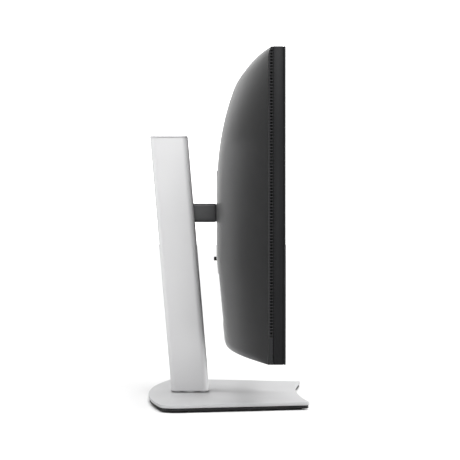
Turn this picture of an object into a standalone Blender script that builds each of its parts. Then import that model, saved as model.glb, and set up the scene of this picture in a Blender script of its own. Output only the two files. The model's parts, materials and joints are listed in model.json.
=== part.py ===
"""A curved ultrawide desktop monitor on a height, tilt, swivel and slant adjustable stand.

Metres, +Z up. The screen faces -Y and +X is the viewer's right. The origin lies on the desk, below the centre
of the whole footprint. The head's layers are measured by their depth behind the curved front face, and the
column's pieces by their distance from the column's leaning centre line.
"""
import math

import bmesh
import bpy
from mathutils import Vector

GAP = 0.0003            # between neighbouring solids
ARC_STEPS = 6           # points on a rounded corner
LARGE_ROUND, ROUND, SMALL_ROUND = 32, 20, 12    # facets round a circle
BEYOND = 0.05           # how far a cutter reaches past what it cuts
OVERLAP = 0.001         # how far joined solids run into each other

# Head
HEAD_WIDTH = 0.815
HEAD_HEIGHT = 0.3651
HEAD_BOTTOM_Z = 0.0702
SCREEN_RADIUS = 3.8     # the screen's curve, seen from above
FRONT_Y = -0.0465       # the screen's middle
HEAD_COLUMNS = 16       # flat facets across the curve
RIM_DEPTH = 0.0200      # thickness of the head at its side edges
RIM_STEP = 0.0059       # the dome starts this far behind the rim
DOME_DEPTH = 0.0402     # the dome's height over the rim
DOME_RISE = 0.186       # how far down from the top the dome grows
DOME_POWER = 2.67
DOME_FALL_Z = 0.190     # below this height the dome thins
DOME_FALL = 2.4         # share of the dome lost per metre below it
DOME_FLAT = 0.18        # share of the half width over which the dome is flat
DOME_FLANK = 1.75       # how its sides fall away beyond that
UNDER_RISE = 0.012      # height of the dome's rounded lower edge
UNDER_DEPTH = 0.0240    # the dome's height over the rim at its very bottom
UNDER_FLANK = 1.45
COVER_FACETS = (20, 14) # across and up the dome
COVER_FRONT_DEPTH = 0.0146
COVER_WALL = 0.0022
FRAME_WALL = 0.0020
BEZEL_DEPTH = 0.0030
BEZEL_BORDER = 0.0025
CHIN_HEIGHT = 0.0155
GLASS_DEPTH = (0.0005, 0.0030)
BACKLIGHT_DEPTH = (0.0034, 0.0094)
CHASSIS_DEPTH = (0.0098, 0.0110)
LIT_MARGIN = 0.0090     # the backlight ends this far above the head's lower edge
LIGHT_RISE = 0.0050     # the power light's height over the same edge
LIGHT_SIZE = (0.0030, 0.0024, 0.0012)
LIGHT_DEPTH = 0.0014
BOARD_THICKNESS = 0.0016
BOARD_STANDOFF = 0.0040
MAIN_BOARD = (-0.100, 0.060, 0.100, 0.165)      # sides, then bottom and top
POWER_BOARD = (0.120, 0.065, 0.110, 0.200)      # its right side is measured from the joystick

# Stand interface on the head
ARM_Z = 0.2476
TILT_Y = 0.0030         # the tilt axis
RECESS_HALF = 0.0560
RECESS_FLOOR_Y = -0.0165
MOUNT_COVER_Y = 0.0130
MOUNT_COVER_WALL = 0.0020
PLATE_STANDOFF = 0.0028
PLATE_THICKNESS = 0.0025
PLATE_MARGIN = 0.0012
PLATE_RAIL = (0.030, 0.0495, 0.0030)    # half length, height from the middle, half thickness
SLANT_BOSS_RADIUS = 0.0160
SLANT_RETAINER_RADIUS = 0.0220
SLANT_RETAINER_THICKNESS = 0.0020
FLANGE_RADIUS = 0.0240
FLANGE_THICKNESS = 0.0025
VESA_PITCH = 0.100
VESA_HOLE_RADIUS = 0.0017
VESA_BOSS_RADIUS = 0.0042
FRAME_HALF = 0.060
FRAME_THICKNESS = 0.0016
FRAME_LEG = (0.052, 0.0015, 0.055)      # place, half thickness, half height
COVER_SCREW_AT = (0.040, 0.024)
COVER_SCREW_RADIUS = 0.0014
COVER_SCREW_HEAD = (0.0030, 0.0010)     # radius, height
COVER_SCREW_LENGTH = 0.0030             # behind the frame's rear face
CLEARANCE_HOLE = 0.0004                 # a hole's radius over that of what passes through it

# Arm and tilt hinge
ARM_WIDTH = 0.030
ARM_HEIGHT = 0.025
ARM_EDGE = 0.0040
KNUCKLE_RADIUS = 0.0095
SHAFT_RADIUS = 0.0040
SHAFT_END = 0.0045      # the thread past the ear
SHAFT_HEAD = (0.0065, 0.0030)   # radius, height
NUT_RADIUS = 0.0068
NUT_HEIGHT = 0.0040
EAR_THICKNESS = 0.0035
EAR_RADIUS = 0.0080
WASHER_THICKNESS = 0.0006
WASHER_RADIUS = 0.0075
KNUCKLE_WIDTH = ARM_WIDTH - 2 * (WASHER_THICKNESS + 2 * GAP + EAR_THICKNESS)
ARM_ROOM = 0.0018       # round the arm, in the mount cover's opening
TILT_BACK = 21          # degrees, the top of the screen going back
TILT_FORWARD = 5

# Column
COLUMN_WIDTH = 0.058
COLUMN_DEPTH = 0.0495
COLUMN_RADIUS = 0.008
COLUMN_WALL = 0.0025
COLUMN_FOOT_Z = 0.0124
COLUMN_FOOT_Y = 0.0485  # the centre line, at the foot
COLUMN_TOP_Z = 0.3496
COLUMN_LEAN = 0.0843    # metres back per metre up
CAP_THICKNESS = 0.0030
CABLE_HOLE_Z = (0.0386, 0.0857)
CABLE_HOLE_RADIUS = 0.015
TRIM_WALL = 0.0015
LINING_SPACE = (0.0026, 0.0033)     # from the cable hole's lining down to the foot block and up to the rail
RAIL_TOP_SPACE = 0.0056
FOOT_BLOCK_TOP_Z = CABLE_HOLE_Z[0] - TRIM_WALL - LINING_SPACE[0]
RAIL_WALL = 0.0015
RAIL_Z = (CABLE_HOLE_Z[1] + TRIM_WALL + LINING_SPACE[1], COLUMN_TOP_Z - RAIL_TOP_SPACE)
SLOT_MARGIN = 0.0015
SLOT_HEADROOM = 0.0035      # of the column's wall above the slot
SLOT_DEPTH = 0.005          # the slot's cutter stops this far in front of the centre line

# Lift travel from the modelled height
LIFT_UP = COLUMN_TOP_Z - CAP_THICKNESS - SLOT_HEADROOM - 2 * SLOT_MARGIN - ARM_HEIGHT / 2 - ARM_Z
LIFT_DOWN = 0.035

# Lift carriage: places along Y are from the column's centre line, backwards
COIL_WIDTH = 0.016
COIL_DROP = 0.052
AXLE_RADIUS = 0.0030
BAND_THICKNESS = 0.0003
BAND_ENDS = (0.010, 0.008)
RAIL_BACK = COLUMN_DEPTH / 2 - COLUMN_WALL - GAP - RAIL_WALL
RAIL_OPENING = 0.0065       # from the inside of the rail's front to the ends of its sides
RAIL_LIP = 0.0040           # the rail's sides end this far in front of the carriage
CARRIAGE_THICKNESS = 0.0060
CARRIAGE_FRONT = RAIL_OPENING + RAIL_LIP - RAIL_BACK
CARRIAGE_BACK = CARRIAGE_FRONT + CARRIAGE_THICKNESS
COIL_SPACE = 0.0015         # between the coil and the carriage
COIL_RADIUS = (RAIL_BACK - 2 * GAP - BAND_THICKNESS - COIL_SPACE - CARRIAGE_BACK) / 2
COIL_BACK = RAIL_BACK - 2 * GAP - BAND_THICKNESS - COIL_RADIUS
CARRIAGE_DROP = 0.0875      # below the arm's middle
PAD_OUTER = COLUMN_WIDTH / 2 - COLUMN_WALL - 2 * GAP - RAIL_WALL
PAD_THICKNESS = 0.0031
PAD_LENGTH = 0.094
PAD_RISE = 0.003
PAD_DEPTH = 0.004           # behind the carriage's plate
CARRIAGE_WIDTH = 2 * (PAD_OUTER - PAD_THICKNESS - GAP)
CHEEK_THICKNESS = 0.0045
CHEEK_SPACE = 0.0030        # between the coil and a cheek
CHEEK_HALF_HEIGHT = 0.020
CHEEK_REACH = 0.006         # behind the axle
AXLE_END = 0.0015

# Base
BASE_REAR_Y = 0.1036
BASE_FRONT_CORNER_Y = -0.1041   # before its corner is rounded
BASE_REAR_HALF_WIDTH = 0.240
BASE_REAR_CORNER_Y = 0.078
BASE_FRONT_HALF_WIDTH = 0.185
BASE_FRONT_DIP = 0.0116
BASE_REAR_RADIUS = 0.018
BASE_FRONT_RADIUS = 0.0055
PLATE_TOP_Z = 0.0098
BASE_PLATE_THICKNESS = 0.0040
UNDERSIDE_BOTTOM_Z = 0.0020
UNDERSIDE_INSET = 0.0012
FOOT_RADIUS = 0.011
FOOT_INSETS = ((0.032, 0.020), (0.020, 0.020))     # rear feet, then front feet, from the base's corners
PLATE_EDGE = 0.0006
SWIVEL_POST_RADIUS = 0.0200
SWIVEL_DISC_RADIUS = SWIVEL_POST_RADIUS + 0.0040
RETAINER_RADIUS = SWIVEL_POST_RADIUS + 0.0060
RETAINER_BOTTOM_Z = 0.0028
SCREW_POCKET_RADIUS = SWIVEL_POST_RADIUS - 0.0060
SCREW_POCKET_TOP_Z = 0.0085
SCREW_RADIUS = 0.0030
SCREW_HEAD_RADIUS = 0.0065
SCREW_HEAD_Z = (0.0045, 0.0080)
SCREW_TOP_Z = 0.0255
RING_Z = 0.0062
RING_RADIUS = 0.0082
RING_WIRE = 0.0008

# Port bay: its ceiling faces down, and its floor slopes out to the cover's surface
BAY_HALF_WIDTH = 0.095
BAY_CEILING_Z = 0.168
BAY_BOTTOM_Z = 0.100
BAY_FLOOR_Y = -0.0137
SOCKET_HEIGHT = 0.0113
SOCKET_WALL = 0.0006
SOCKET_FLOOR = 0.0020
TONGUE_MARGIN = 0.0040
TONGUE_THICKNESS = 0.0018
AUDIO_BORE = 0.0018
PORT_BOARD_SIZE = (0.012, 0.001, 0.0060, 0.0014)    # left margin, gap to the bay, rear edge, thickness

# name, centre x, centre y, width, depth, whether a tongue fills its middle
SOCKETS = (
    ("hdmi_socket", 0.0480, -0.0020, 0.0150, 0.0060, True),
    ("displayport_socket", 0.0260, -0.0020, 0.0165, 0.0060, True),
    ("usb_c_socket", 0.0080, -0.0020, 0.0095, 0.0036, False),
    ("usb_a_socket_1", -0.0100, -0.0020, 0.0140, 0.0065, True),
    ("usb_a_socket_2", -0.0290, -0.0020, 0.0140, 0.0065, True),
    ("ethernet_socket", -0.0520, -0.0020, 0.0160, 0.0135, False),
    ("audio_socket", -0.0710, -0.0020, 0.0080, 0.0080, False),
)
INLET_AT = (0.0765, -0.0038)
INLET_SIZE = (0.0270, 0.0190, 0.0190)
INLET_WALLS = (0.0030, 0.0035, 0.0025)

# Controls
RELEASE_Z = 0.1867
RELEASE_SIZE = (0.014, 0.0050)
RELEASE_EDGE = 0.0013
RELEASE_REAR_Y = 0.0170
RELEASE_LENGTH = 0.017
JOYSTICK_X = HEAD_WIDTH / 2 - 0.1075
JOYSTICK_Z = 0.105
JOYSTICK_FLOOR_DEPTH = 0.0050       # the pocket's floor below the cover's surface
JOYSTICK_PIVOT_DEPTH = 0.0055       # the pivot below that floor
JOYSTICK_POCKET_RADIUS = 0.0090
JOYSTICK_HOLE_RADIUS = 0.0036
GIMBAL_RADII = (0.0060, 0.0034)
GIMBAL_HALF_THICKNESS = 0.0010
STEM_RADIUS = 0.0016
STEM_ENDS = (-0.0008, 0.0120)       # along Y from the pivot
STICK_CAP_RADIUS = 0.0048
STICK_CAP_ENDS = (0.0080, 0.0140)
STICK_CAP_BORE = 0.0132
JOYSTICK_BOARD = (0.012, 0.0040, 0.0012, 0.010)     # half width, drop from the pivot, thickness, half height
POWER_X = HEAD_WIDTH / 2 - 0.0355
POWER_SIZE = (0.012, 0.0050)
POWER_EDGE = 0.0015
POWER_ENDS = (-0.0005, 0.0040)      # along Z from the head's lower edge

CHARCOAL = ("charcoal_plastic", (0.045, 0.046, 0.048), 0.55, 0.0)
DARK_ARM = ("arm_paint", (0.070, 0.071, 0.074), 0.45, 0.0)
SILVER = ("silver_paint", (0.66, 0.66, 0.67), 0.38, 0.55)
BLACK = ("black_plastic", (0.018, 0.018, 0.019), 0.60, 0.0)
RUBBER = ("rubber", (0.020, 0.020, 0.020), 0.90, 0.0)
GLASS = ("screen_glass", (0.008, 0.008, 0.010), 0.12, 0.0)
STEEL = ("steel", (0.55, 0.55, 0.56), 0.32, 1.0)
SPRING = ("spring_steel", (0.42, 0.43, 0.45), 0.25, 1.0)
BOARD = ("circuit_board", (0.02, 0.13, 0.06), 0.50, 0.0)
SOCKET = ("socket_metal", (0.62, 0.61, 0.58), 0.30, 1.0)
LIGHT = ("light_pipe", (0.85, 0.87, 0.90), 0.20, 0.0)

materials = {}
pivots = {}


# ---------------------------------------------------------------- scene helpers

def clear_scene():
    for old in list(bpy.data.objects):
        bpy.data.objects.remove(old, do_unlink=True)


def finish_material(finish):
    """The Principled material of a (name, colour, roughness, metallic) finish, made once."""
    name, colour, roughness, metallic = finish
    if name not in materials:
        made = bpy.data.materials.new(name)
        made.use_nodes = True
        shader = made.node_tree.nodes["Principled BSDF"]
        shader.inputs["Base Color"].default_value = (*colour, 1.0)
        shader.inputs["Roughness"].default_value = roughness
        shader.inputs["Metallic"].default_value = metallic
        materials[name] = made
    return materials[name]


def pivot(name, place, parent=None):
    """An empty at a joint, which the moving pieces hang from."""
    empty = bpy.data.objects.new(name, None)
    empty.empty_display_size = 0.02
    bpy.context.scene.collection.objects.link(empty)
    pivots[name] = Vector(place)
    if parent:
        empty.parent = bpy.data.objects[parent]
    empty.location = pivots[name] - (pivots[parent] if parent else Vector())
    return name


def add(name, mesh, finish, body, centre=(0, 0, 0)):
    """Put a bmesh, modelled around centre, into the scene as a body's named piece."""
    bmesh.ops.recalc_face_normals(mesh, faces=mesh.faces)
    data = bpy.data.meshes.new(name)
    mesh.to_mesh(data)
    mesh.free()
    data.shade_smooth()
    data.set_sharp_from_angle(angle=math.radians(32))
    piece = bpy.data.objects.new(name, data)
    bpy.context.scene.collection.objects.link(piece)
    piece.parent = bpy.data.objects[body]
    piece.location = Vector(centre) - pivots[body]
    if finish:
        data.materials.append(finish_material(finish))
    return piece


def helper(name, mesh, body, centre=(0, 0, 0)):
    """A solid that only cuts or joins, and isn't a piece."""
    solid = add(name, mesh, None, body, centre)
    solid.hide_render = True
    solid.display_type = "WIRE"
    return solid


def combine(piece, operation, *others):
    for other in others:
        step = piece.modifiers.new(other.name, "BOOLEAN")
        step.operation = operation
        step.solver = "EXACT"
        step.object = other
    return piece


def cut(piece, *cutters):
    return combine(piece, "DIFFERENCE", *cutters)


def join(piece, *others):
    return combine(piece, "UNION", *others)


def round_edges(piece, width, segments=2, angle=40):
    bevel = piece.modifiers.new("rounded_edges", "BEVEL")
    bevel.width = width
    bevel.segments = segments
    bevel.limit_method = "ANGLE"
    bevel.angle_limit = math.radians(angle)
    return piece


# ---------------------------------------------------------------- outlines and solids

def arc(centre, radius, start, end, steps):
    """Points on an arc, from one angle in degrees to another, both ends included."""
    turns = (math.radians(start + (end - start) * step / steps) for step in range(steps + 1))
    return [(centre[0] + radius * math.cos(turn), centre[1] + radius * math.sin(turn)) for turn in turns]


def circle(radius, steps=24, centre=(0, 0)):
    return arc(centre, radius, 0, 360, steps)[:-1]


def rounded_rectangle(half_width, half_depth, radius, steps=ARC_STEPS):
    points = []
    for quarter, (side, end) in enumerate(((1, 1), (-1, 1), (-1, -1), (1, -1))):
        corner = (side * (half_width - radius), end * (half_depth - radius))
        points += arc(corner, radius, 90 * quarter, 90 * quarter + 90, steps)
    return points


def rounded_corners(points, steps=ARC_STEPS):
    """An outline from (x, y, radius) corners, each rounded by its radius where that isn't zero."""
    outline = []
    for index, (x, y, radius) in enumerate(points):
        here = Vector((x, y))
        if not radius:
            outline.append((x, y))
            continue
        before = (Vector(points[index - 1][:2]) - here).normalized()
        after = (Vector(points[(index + 1) % len(points)][:2]) - here).normalized()
        half_angle = before.angle(after) / 2
        centre = here + (before + after).normalized() * (radius / math.sin(half_angle))
        start = here + before * (radius / math.tan(half_angle)) - centre
        sweep = start.angle_signed(here + after * (radius / math.tan(half_angle)) - centre)
        for step in range(steps + 1):
            turn = -sweep * step / steps
            turned = Vector((start.x * math.cos(turn) - start.y * math.sin(turn),
                             start.x * math.sin(turn) + start.y * math.cos(turn)))
            outline.append(tuple(centre + turned))
    return outline


def loft(loops):
    """A closed solid through loops of 3-D points, all of the same length."""
    mesh = bmesh.new()
    rings = [[mesh.verts.new(point) for point in loop] for loop in loops]
    for lower, upper in zip(rings, rings[1:]):
        for index in range(len(lower)):
            after = (index + 1) % len(lower)
            mesh.faces.new((lower[index], lower[after], upper[after], upper[index]))
    mesh.faces.new(rings[0])
    mesh.faces.new(rings[-1])
    return mesh


def upright(outline, low, high):
    """An outline in X and Y, extruded along Z."""
    return loft([[(x, y, z) for x, y in outline] for z in (low, high)])


def across(outline, low, high):
    """An outline in Y and Z, extruded along X."""
    return loft([[(x, y, z) for y, z in outline] for x in (low, high)])


def through(outline, low, high):
    """An outline in X and Z, extruded along Y."""
    return loft([[(x, y, z) for x, z in outline] for y in (low, high)])


def box(low, high):
    outline = ((low[0], low[1]), (high[0], low[1]), (high[0], high[1]), (low[0], high[1]))
    return upright(outline, low[2], high[2])


def centred_box(width, depth, height):
    return box((-width / 2, -depth / 2, -height / 2), (width / 2, depth / 2, height / 2))


def tube(outer, inner, solid):
    """A ring between two outlines of the same length, made by upright, across or through."""
    make, low, high = solid
    outer_mesh = make(outer, low, high)
    inner_mesh = make(inner, low, high)
    mesh = bmesh.new()
    rings = []
    for source in (outer_mesh, inner_mesh):
        source.verts.ensure_lookup_table()
        rings.append([mesh.verts.new(vert.co) for vert in source.verts])
        source.free()
    count = len(outer)
    quads = ((0, 0, 0, 1), (1, 0, 1, 1), (0, 0, 1, 0), (0, 1, 1, 1))
    for side_a, end_a, side_b, end_b in quads:
        for index in range(count):
            after = (index + 1) % count
            mesh.faces.new((rings[side_a][end_a * count + index], rings[side_a][end_a * count + after],
                            rings[side_b][end_b * count + after], rings[side_b][end_b * count + index]))
    return mesh


# ---------------------------------------------------------------- the head's curved layers

def front_y(x):
    """The screen's curved front face."""
    return FRONT_Y - SCREEN_RADIUS + math.sqrt(SCREEN_RADIUS ** 2 - x ** 2)


def curved_slab(half_width, low_z, high_z, near, far):
    """A layer of the head between two depths behind the front face."""
    columns = [half_width * (2 * step / HEAD_COLUMNS - 1) for step in range(HEAD_COLUMNS + 1)]
    outline = [(x, front_y(x) + near) for x in columns]
    outline += [(x, front_y(x) + far) for x in reversed(columns)]
    return upright(outline, low_z, high_z)


def dome_depth(x, z):
    """How thick the head is at a place on its back."""
    below_top = HEAD_BOTTOM_Z + HEAD_HEIGHT - z
    rise = 1 - max(0.0, 1 - below_top / DOME_RISE) ** DOME_POWER
    fall = 1 - DOME_FALL * max(0.0, DOME_FALL_Z - z)
    share = min(1.0, abs(x) / (HEAD_WIDTH / 2))
    spread = 1 - (max(0.0, share - DOME_FLAT) / (1 - DOME_FLAT)) ** DOME_FLANK
    dome = (RIM_STEP + (DOME_DEPTH - RIM_STEP) * rise) * fall * spread
    over_edge = 1 - max(0.0, z - HEAD_BOTTOM_Z) / UNDER_RISE
    if over_edge > 0:
        under = 1 - math.sqrt(1 - over_edge ** 2)
        dome += under * (UNDER_DEPTH * (1 - share ** UNDER_FLANK) - dome)
    return RIM_DEPTH + dome


def dome_solid(inset, front_depth):
    """The space under the dome, in from the rear cover's outer faces by inset, back from front_depth."""
    columns, rows = COVER_FACETS
    half_width = HEAD_WIDTH / 2 - inset
    low_z = HEAD_BOTTOM_Z + inset
    high_z = HEAD_BOTTOM_Z + HEAD_HEIGHT - inset
    levels = [low_z + (high_z - low_z) * math.sin(math.pi / 2 * row / rows) for row in range(rows + 1)]
    levels[1:1] = [low_z + UNDER_RISE * share for share in (0.15, 0.4)]
    rows = len(levels) - 1
    mesh = bmesh.new()
    back, front = [], []
    for column in range(columns + 1):
        x = half_width * math.sin(math.pi / 2 * (2 * column / columns - 1))
        back.append([mesh.verts.new((x, front_y(x) + dome_depth(x, z) - inset, z)) for z in levels])
        front.append([mesh.verts.new((x, front_y(x) + front_depth, z)) for z in (low_z, high_z)])
    for column in range(columns):
        for row in range(rows):
            mesh.faces.new((back[column][row], back[column + 1][row],
                            back[column + 1][row + 1], back[column][row + 1]))
        mesh.faces.new((front[column][0], front[column + 1][0], front[column + 1][1], front[column][1]))
        mesh.faces.new((front[column][0], front[column + 1][0], back[column + 1][0], back[column][0]))
        mesh.faces.new((front[column][1], front[column + 1][1], back[column + 1][-1], back[column][-1]))
    for side in (0, columns):
        mesh.faces.new([front[side][0], *back[side], front[side][1]])
    return mesh


def bay_wedge(margin):
    """The port bay, or the block around it that holds its walls."""
    deep_y = BAY_FLOOR_Y - margin
    out_y = RELEASE_REAR_Y
    ceiling = BAY_CEILING_Z + margin
    profile = ((deep_y, ceiling), (out_y, ceiling), (out_y, BAY_BOTTOM_Z - margin),
               (front_y(0) + dome_depth(0, BAY_BOTTOM_Z) - margin, BAY_BOTTOM_Z - margin),
               (deep_y, (BAY_CEILING_Z + BAY_BOTTOM_Z) / 2))
    half_width = BAY_HALF_WIDTH + margin
    return across(profile, -half_width, half_width)


def recess_block(margin):
    half = RECESS_HALF + margin
    return box((-half, RECESS_FLOOR_Y - margin, ARM_Z - half), (half, RELEASE_REAR_Y, ARM_Z + half))


def joystick_floor_y():
    """The floor of the joystick's pocket, measured down from the cover's surface."""
    return front_y(JOYSTICK_X) + dome_depth(JOYSTICK_X, JOYSTICK_Z) - JOYSTICK_FLOOR_DEPTH


def build_rear_cover():
    cover = add("rear_cover", dome_solid(0, COVER_FRONT_DEPTH), CHARCOAL, "head")
    cavity = helper("cover_cavity", dome_solid(COVER_WALL, CHASSIS_DEPTH[1]), "head")
    stick_at = (JOYSTICK_X, 0, JOYSTICK_Z)
    floor_y = joystick_floor_y()
    walls = through(circle(JOYSTICK_POCKET_RADIUS + COVER_WALL, ROUND), floor_y - COVER_WALL, BEYOND)
    cut(cavity, helper("recess_walls", recess_block(COVER_WALL), "head"))
    cut(cavity, helper("bay_walls", bay_wedge(COVER_WALL), "head"))
    cut(cavity, helper("joystick_walls", walls, "head", stick_at))
    cut(cover, cavity)
    cut(cover, helper("recess_pocket", recess_block(0), "head"))
    cut(cover, helper("bay_pocket", bay_wedge(0), "head"))
    pocket = through(circle(JOYSTICK_POCKET_RADIUS, ROUND), floor_y, BEYOND)
    hole = through(circle(JOYSTICK_HOLE_RADIUS, SMALL_ROUND), floor_y - 2 * COVER_WALL, floor_y + COVER_WALL)
    cut(cover, helper("joystick_pocket", pocket, "head", stick_at))
    cut(cover, helper("joystick_hole", hole, "head", stick_at))
    width, height = RELEASE_SIZE
    opening = rounded_rectangle(width / 2 + GAP, height / 2 + GAP, RELEASE_EDGE, 3)
    cut(cover, helper("release_hole", through(opening, 0, RELEASE_REAR_Y), "head", (0, 0, RELEASE_Z)))
    for name, x, y, wide, deep, _ in SOCKETS:
        cut_ceiling(cover, name, x, y, wide, deep)
    cut_ceiling(cover, "mains_inlet", *INLET_AT, *INLET_SIZE[:2])
    for index, place in enumerate(vesa_places()):
        cut_floor(cover, f"vesa_hole_{index}", VESA_BOSS_RADIUS + CLEARANCE_HOLE, place)
    for index, place in enumerate(cover_screw_places()):
        cut_floor(cover, f"cover_screw_hole_{index}", COVER_SCREW_RADIUS + CLEARANCE_HOLE, place)


def cut_ceiling(cover, name, x, y, wide, deep):
    """A hole for a socket in the port bay's ceiling."""
    hole = centred_box(wide + 2 * GAP, deep + 2 * GAP, 4 * COVER_WALL)
    cut(cover, helper(name + "_hole", hole, "head", (x, y, BAY_CEILING_Z)))


def cut_floor(cover, name, radius, place):
    """A round hole in the stand recess's floor."""
    hole = through(circle(radius, SMALL_ROUND), RECESS_FLOOR_Y - 2 * COVER_WALL, RECESS_FLOOR_Y + COVER_WALL)
    cut(cover, helper(name, hole, "head", (place[0], 0, place[1])))


def vesa_places():
    return [(side * VESA_PITCH / 2, ARM_Z + end * VESA_PITCH / 2) for side in (-1, 1) for end in (-1, 1)]


def cover_screw_places():
    x, z = COVER_SCREW_AT
    return [(side * x, ARM_Z + end * z) for side in (-1, 1) for end in (-1, 1)]


def build_front():
    half_width = HEAD_WIDTH / 2
    top = HEAD_BOTTOM_Z + HEAD_HEIGHT
    window_z = (HEAD_BOTTOM_Z + CHIN_HEIGHT, top - BEZEL_BORDER)
    window_half = half_width - BEZEL_BORDER
    light_z = HEAD_BOTTOM_Z + LIGHT_RISE
    bezel = add("front_bezel", curved_slab(half_width, HEAD_BOTTOM_Z, top, 0, BEZEL_DEPTH), CHARCOAL, "head")
    window = curved_slab(window_half, *window_z, -BEZEL_DEPTH, 2 * BEZEL_DEPTH)
    cut(bezel, helper("screen_window", window, "head"))
    light_hole = centred_box(LIGHT_SIZE[0] + 2 * GAP, 4 * BEZEL_DEPTH, LIGHT_SIZE[2] + 2 * GAP)
    cut(bezel, helper("light_hole", light_hole, "head", (POWER_X, front_y(POWER_X), light_z)))

    middle = add("middle_frame", curved_slab(half_width, HEAD_BOTTOM_Z, top, BEZEL_DEPTH + GAP,
                                             COVER_FRONT_DEPTH - GAP), CHARCOAL, "head")
    cut(middle, helper("frame_window", curved_slab(half_width - FRAME_WALL, HEAD_BOTTOM_Z + FRAME_WALL,
                                                   top - FRAME_WALL, 0, 2 * COVER_FRONT_DEPTH), "head"))
    width, depth = POWER_SIZE
    cut(middle, helper("power_hole", centred_box(width + 2 * GAP, depth + 2 * GAP, 4 * FRAME_WALL),
                       "head", (POWER_X, power_y(), HEAD_BOTTOM_Z)))

    add("lcd_panel", curved_slab(window_half - GAP, window_z[0] + GAP, window_z[1] - GAP, *GLASS_DEPTH),
        GLASS, "head")
    inner = half_width - FRAME_WALL - 2 * GAP
    lit_z = (HEAD_BOTTOM_Z + LIT_MARGIN, top - FRAME_WALL - 2 * GAP)
    add("backlight_unit", curved_slab(inner, *lit_z, *BACKLIGHT_DEPTH), BLACK, "head")
    add("chassis_plate", curved_slab(inner, *lit_z, *CHASSIS_DEPTH), STEEL, "head")
    light_at = (POWER_X, front_y(POWER_X) + LIGHT_DEPTH, light_z)
    add("power_light", centred_box(*LIGHT_SIZE), LIGHT, "head", light_at)


def power_y():
    return front_y(POWER_X) + (BEZEL_DEPTH + COVER_FRONT_DEPTH) / 2


def build_inside():
    chassis_back = FRONT_Y + CHASSIS_DEPTH[1]
    frame_back = RECESS_FLOOR_Y - COVER_WALL - GAP
    frame_front = frame_back - FRAME_THICKNESS
    frame = add("mount_frame", box((-FRAME_HALF, frame_front, ARM_Z - FRAME_HALF),
                                   (FRAME_HALF, frame_back, ARM_Z + FRAME_HALF)), STEEL, "head")
    leg_x, leg_half, leg_height = FRAME_LEG
    for side in (-1, 1):
        leg = box((side * leg_x - leg_half, chassis_back + GAP, ARM_Z - leg_height),
                  (side * leg_x + leg_half, frame_back - FRAME_THICKNESS / 2, ARM_Z + leg_height))
        join(frame, helper(f"frame_leg_{side}", leg, "head"))
    for index, (x, z) in enumerate(vesa_places()):
        boss = through(circle(VESA_BOSS_RADIUS, SMALL_ROUND), frame_back - OVERLAP, RECESS_FLOOR_Y + GAP)
        join(frame, helper(f"vesa_boss_{index}", boss, "head", (x, 0, z)))
        thread = through(circle(VESA_HOLE_RADIUS, SMALL_ROUND), chassis_back, 0)
        cut(frame, helper(f"vesa_thread_{index}", thread, "head", (x, 0, z)))
    head_radius, head_height = COVER_SCREW_HEAD
    head_y = (RECESS_FLOOR_Y + GAP, RECESS_FLOOR_Y + GAP + head_height)
    for index, (x, z) in enumerate(cover_screw_places()):
        thread = through(circle(COVER_SCREW_RADIUS + CLEARANCE_HOLE, SMALL_ROUND), chassis_back, 0)
        cut(frame, helper(f"screw_thread_{index}", thread, "head", (x, 0, z)))
        head = through(circle(head_radius, SMALL_ROUND), *head_y)
        screw = add(f"cover_screw_{index + 1}", head, STEEL, "head", (x, 0, z))
        shank = through(circle(COVER_SCREW_RADIUS, SMALL_ROUND), frame_back - COVER_SCREW_LENGTH,
                        RECESS_FLOOR_Y + head_height)
        join(screw, helper(f"screw_shank_{index}", shank, "head", (x, 0, z)))

    near, far = chassis_back + BOARD_STANDOFF, chassis_back + BOARD_STANDOFF + BOARD_THICKNESS
    left, right, low, high = MAIN_BOARD
    add("main_board", box((left, near, low), (right, far, high)), BOARD, "head")
    left, margin, low, high = POWER_BOARD
    add("power_board", box((left, near, low), (JOYSTICK_X - margin, far, high)), BOARD, "head")
    margin, gap, rear_y, thickness = PORT_BOARD_SIZE
    low = BAY_CEILING_Z + SOCKET_HEIGHT + GAP
    inlet_left = INLET_AT[0] - INLET_SIZE[0] / 2
    add("port_board", box((margin - BAY_HALF_WIDTH, BAY_FLOOR_Y + gap, low),
                          (inlet_left - gap, rear_y, low + thickness)), BOARD, "head")


def build_sockets():
    for name, x, y, wide, deep, tongue in SOCKETS:
        place = (x, y, BAY_CEILING_Z + SOCKET_HEIGHT / 2)
        if name == "audio_socket":
            socket = add(name, centred_box(wide, deep, SOCKET_HEIGHT), BLACK, "head", place)
            bore = upright(circle(AUDIO_BORE, SMALL_ROUND), -SOCKET_HEIGHT, SOCKET_HEIGHT / 2 - SOCKET_FLOOR)
            cut(socket, helper("audio_bore", bore, "head", place))
            continue
        socket = add(name, centred_box(wide, deep, SOCKET_HEIGHT), SOCKET, "head", place)
        mouth = centred_box(wide - 2 * SOCKET_WALL, deep - 2 * SOCKET_WALL, SOCKET_HEIGHT)
        pocket = helper(name + "_pocket", mouth, "head", (x, y, place[2] - SOCKET_FLOOR))
        if tongue:
            middle = centred_box(wide - TONGUE_MARGIN, TONGUE_THICKNESS, SOCKET_HEIGHT)
            cut(pocket, helper(name + "_tongue", middle, "head", (x, y, place[2] + SOCKET_FLOOR)))
        cut(socket, pocket)
    wide, deep, height = INLET_SIZE
    side_walls, end_walls, floor = INLET_WALLS
    place = (*INLET_AT, BAY_CEILING_Z + height / 2)
    inlet = add("mains_inlet", centred_box(wide, deep, height), BLACK, "head", place)
    cut(inlet, helper("inlet_pocket", centred_box(wide - side_walls, deep - end_walls, height), "head",
                      (*INLET_AT, place[2] - floor)))


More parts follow.
